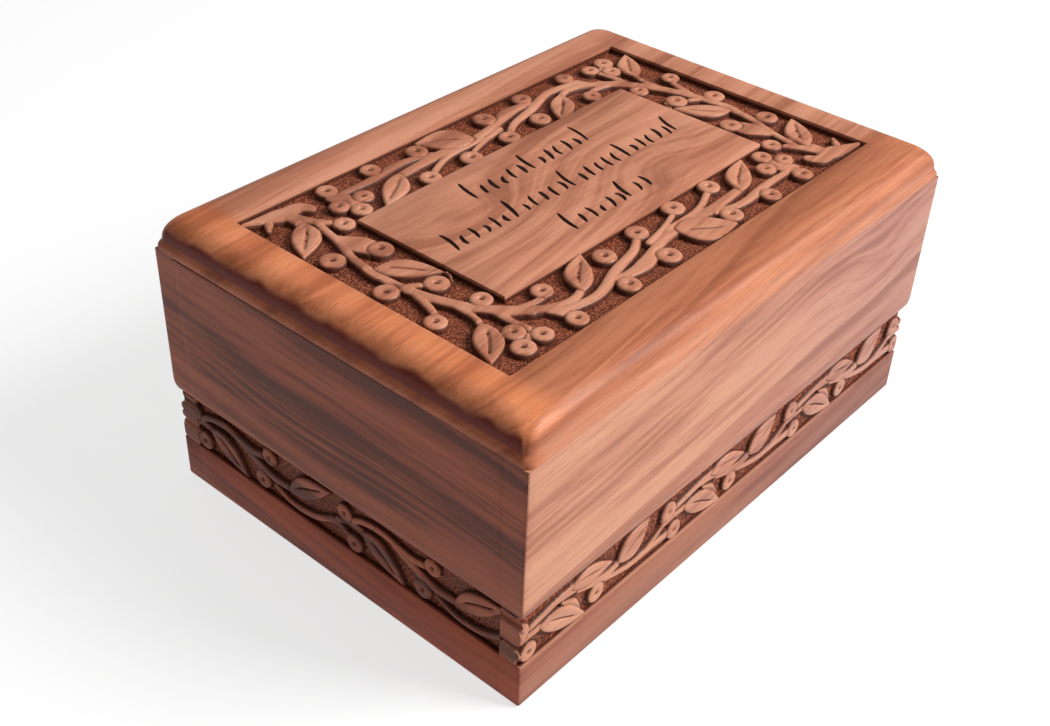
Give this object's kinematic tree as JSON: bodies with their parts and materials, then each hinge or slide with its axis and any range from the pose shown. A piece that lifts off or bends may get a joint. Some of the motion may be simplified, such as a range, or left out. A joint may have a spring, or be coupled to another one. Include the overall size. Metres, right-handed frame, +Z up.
{
  "type": "cremation urn box",
  "caption": "Rectangular wooden box with a lift-off lid, a sunk vine border round the lid's raised panel and a carved band round its foot, made to hold ashes.",
  "frame": {"origin": "middle of the underside, on the surface that the box stands on", "axes": "+X along the long side, +Y from the front to the back, +Z up through the lid"},
  "size_m": [0.243, 0.173, 0.116],
  "materials": {
    "lid_wood": "satin clear coat over rosewood",
    "long_side_wood": "satin clear coat over rosewood",
    "end_wood": "satin clear coat over rosewood",
    "bottom_wood": "plain sanded rosewood"
  },
  "bodies": {
    "root": {"lid": "lid_wood", "front_board": "long_side_wood", "back_board": "long_side_wood", "left_end_board": "end_wood", "right_end_board": "end_wood", "bottom_board": "bottom_wood"}
  },
  "joints": []
}
